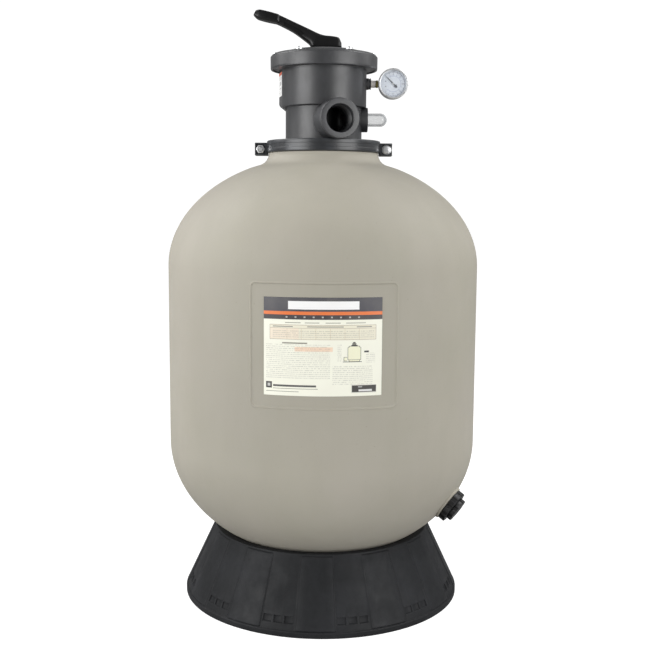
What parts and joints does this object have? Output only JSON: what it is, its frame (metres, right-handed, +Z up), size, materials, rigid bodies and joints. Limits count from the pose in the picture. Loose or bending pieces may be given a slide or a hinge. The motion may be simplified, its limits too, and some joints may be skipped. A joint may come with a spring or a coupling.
{
  "type": "sand filter tank",
  "caption": "Top-mount pool sand filter: round moulded tank on a skirted stand, clamp ring, multiport valve with lever handle, pressure gauge, sight glass and drain.",
  "frame": {"origin": "centre of the stand's underside, on the tank's axis", "axes": "+Z up along the tank's axis; the labelled front faces -Y; gauge and sight glass on +X"},
  "size_m": [0.5206, 0.5206, 0.984],
  "materials": {
    "tank_plastic": "satin moulded polyethylene",
    "stand_plastic": "satin moulded plastic",
    "valve_plastic": "satin ABS",
    "clamp_plastic": "satin glass-filled plastic",
    "handle_plastic": "gloss",
    "drain_plastic": "satin",
    "inner_plastic": "natural white",
    "clear_plastic": "clear",
    "seal_rubber": "matte",
    "stainless_steel": "bright",
    "brass": "machined",
    "thread_tape": "white film",
    "dial_white": "white paint",
    "needle_black": "matte black",
    "label_film": "printed film"
  },
  "bodies": {
    "filter": {"tank_shell": "tank_plastic", "tank_stand": "stand_plastic", "tank_label": "label_film", "valve_label": "label_film", "centre_pipe": "inner_plastic", "lateral_hub": "inner_plastic", "top_diffuser": "inner_plastic", "drain_body": "drain_plastic", "drain_gasket": "seal_rubber", "drain_ring_nut": "drain_plastic", "drain_screen": "inner_plastic", "clamp_front": "clamp_plastic", "clamp_rear": "clamp_plastic", "clamp_bolt_left": "stainless_steel", "clamp_bolt_right": "stainless_steel", "clamp_nut_left": "stainless_steel", "clamp_nut_right": "stainless_steel", "neck_o_ring": "seal_rubber", "valve_body": "valve_plastic", "waste_port_tube": "valve_plastic", "pump_port_tube": "valve_plastic", "return_port_tube": "valve_plastic", "valve_cover": "valve_plastic", "cover_o_ring": "seal_rubber", "cover_screw_1": "stainless_steel", "cover_screw_2": "stainless_steel", "cover_screw_3": "stainless_steel", "cover_screw_4": "stainless_steel", "cover_screw_5": "stainless_steel", "cover_screw_6": "stainless_steel", "spider_gasket": "seal_rubber", "gauge_stem": "brass", "thread_tape": "thread_tape", "gauge_case": "stainless_steel", "gauge_bezel": "stainless_steel", "gauge_lens": "clear_plastic", "gauge_dial": "dial_white", "bourdon_tube": "brass", "sight_glass": "clear_plastic", "sight_glass_seal": "seal_rubber"},
    "handle_turntable": {"handle_washer": "stainless_steel"},
    "rotor": {"valve_rotor": "inner_plastic", "stem_o_ring": "seal_rubber", "handle_pin": "stainless_steel", "valve_spring": "stainless_steel"},
    "handle": {"valve_handle": "handle_plastic"},
    "needle": {"gauge_needle": "needle_black", "gauge_pinion": "brass"},
    "gauge_sector": {"gauge_sector": "brass"},
    "drain_seal": {"drain_cap_seal": "seal_rubber"},
    "drain_cap": {"drain_cap": "drain_plastic"},
    "arm_1": {"lateral_1": "inner_plastic"},
    "arm_2": {"lateral_2": "inner_plastic"},
    "arm_3": {"lateral_3": "inner_plastic"},
    "arm_4": {"lateral_4": "inner_plastic"},
    "arm_5": {"lateral_5": "inner_plastic"},
    "arm_6": {"lateral_6": "inner_plastic"},
    "arm_7": {"lateral_7": "inner_plastic"},
    "arm_8": {"lateral_8": "inner_plastic"}
  },
  "joints": [
    {"name": "handle_turn", "type": "hinge", "parent": "filter", "child": "handle_turntable", "pos_m": [0, 0, 0.9168], "axis": [0, 0, 1], "continuous": true},
    {"name": "stem_lift", "type": "slide", "parent": "handle_turntable", "child": "rotor", "axis": [0, 0, 1], "range_m": [0, 0.005], "stiffness_N_per_m": 3000, "springref_m": -0.006, "deforming": ["valve_spring"]},
    {"name": "handle_tilt", "type": "hinge", "parent": "rotor", "child": "handle", "pos_m": [0, 0, 0.93], "axis": [0, -1, 0], "range_deg": [0, 22.5]},
    {"name": "needle_swing", "type": "hinge", "parent": "filter", "child": "needle", "pos_m": [0.1152, 0, 0.865], "axis": [0, 1, 0], "range_deg": [0, 271]},
    {"name": "sector_swing", "type": "hinge", "parent": "filter", "child": "gauge_sector", "pos_m": [0.1152, 0, 0.8475], "axis": [0, 1, 0], "range_deg": [-45, 0]},
    {"name": "drain_cap_travel", "type": "slide", "parent": "filter", "child": "drain_seal", "axis": [0.7503, -0.3611, -0.5538], "range_m": [0, 0.0046]},
    {"name": "drain_cap_turn", "type": "hinge", "parent": "drain_seal", "child": "drain_cap", "pos_m": [0.20891, -0.10054, 0.177], "axis": [0.7503, -0.3611, -0.5538], "range_deg": [0, 540]},
    {"name": "arm_fold_1", "type": "hinge", "parent": "filter", "child": "arm_1", "pos_m": [0.03326, 0.01378, 0.135], "axis": [0.3827, -0.9239, 0], "range_deg": [0, 85]},
    {"name": "arm_fold_2", "type": "hinge", "parent": "filter", "child": "arm_2", "pos_m": [0.01378, 0.03326, 0.135], "axis": [0.9239, -0.3827, 0], "range_deg": [0, 85]},
    {"name": "arm_fold_3", "type": "hinge", "parent": "filter", "child": "arm_3", "pos_m": [-0.01378, 0.03326, 0.135], "axis": [0.9239, 0.3827, 0], "range_deg": [0, 85]},
    {"name": "arm_fold_4", "type": "hinge", "parent": "filter", "child": "arm_4", "pos_m": [-0.03326, 0.01378, 0.135], "axis": [0.3827, 0.9239, 0], "range_deg": [0, 85]},
    {"name": "arm_fold_5", "type": "hinge", "parent": "filter", "child": "arm_5", "pos_m": [-0.03326, -0.01378, 0.135], "axis": [-0.3827, 0.9239, 0], "range_deg": [0, 85]},
    {"name": "arm_fold_6", "type": "hinge", "parent": "filter", "child": "arm_6", "pos_m": [-0.01378, -0.03326, 0.135], "axis": [-0.9239, 0.3827, 0], "range_deg": [0, 85]},
    {"name": "arm_fold_7", "type": "hinge", "parent": "filter", "child": "arm_7", "pos_m": [0.01378, -0.03326, 0.135], "axis": [-0.9239, -0.3827, 0], "range_deg": [0, 85]},
    {"name": "arm_fold_8", "type": "hinge", "parent": "filter", "child": "arm_8", "pos_m": [0.03326, -0.01378, 0.135], "axis": [-0.3827, -0.9239, 0], "range_deg": [0, 85]}
  ],
  "couplings": [
    {"joint": "handle_tilt", "follows": "stem_lift", "rad_per_m": 76.794},
    {"joint": "needle_swing", "follows": "sector_swing", "ratio": -6},
    {"joint": "drain_cap_travel", "follows": "drain_cap_turn", "m_per_rad": 0.00047746},
    {"joint": "arm_fold_2", "follows": "arm_fold_1", "ratio": 1},
    {"joint": "arm_fold_3", "follows": "arm_fold_1", "ratio": 1},
    {"joint": "arm_fold_4", "follows": "arm_fold_1", "ratio": 1},
    {"joint": "arm_fold_5", "follows": "arm_fold_1", "ratio": 1},
    {"joint": "arm_fold_6", "follows": "arm_fold_1", "ratio": 1},
    {"joint": "arm_fold_7", "follows": "arm_fold_1", "ratio": 1},
    {"joint": "arm_fold_8", "follows": "arm_fold_1", "ratio": 1}
  ]
}
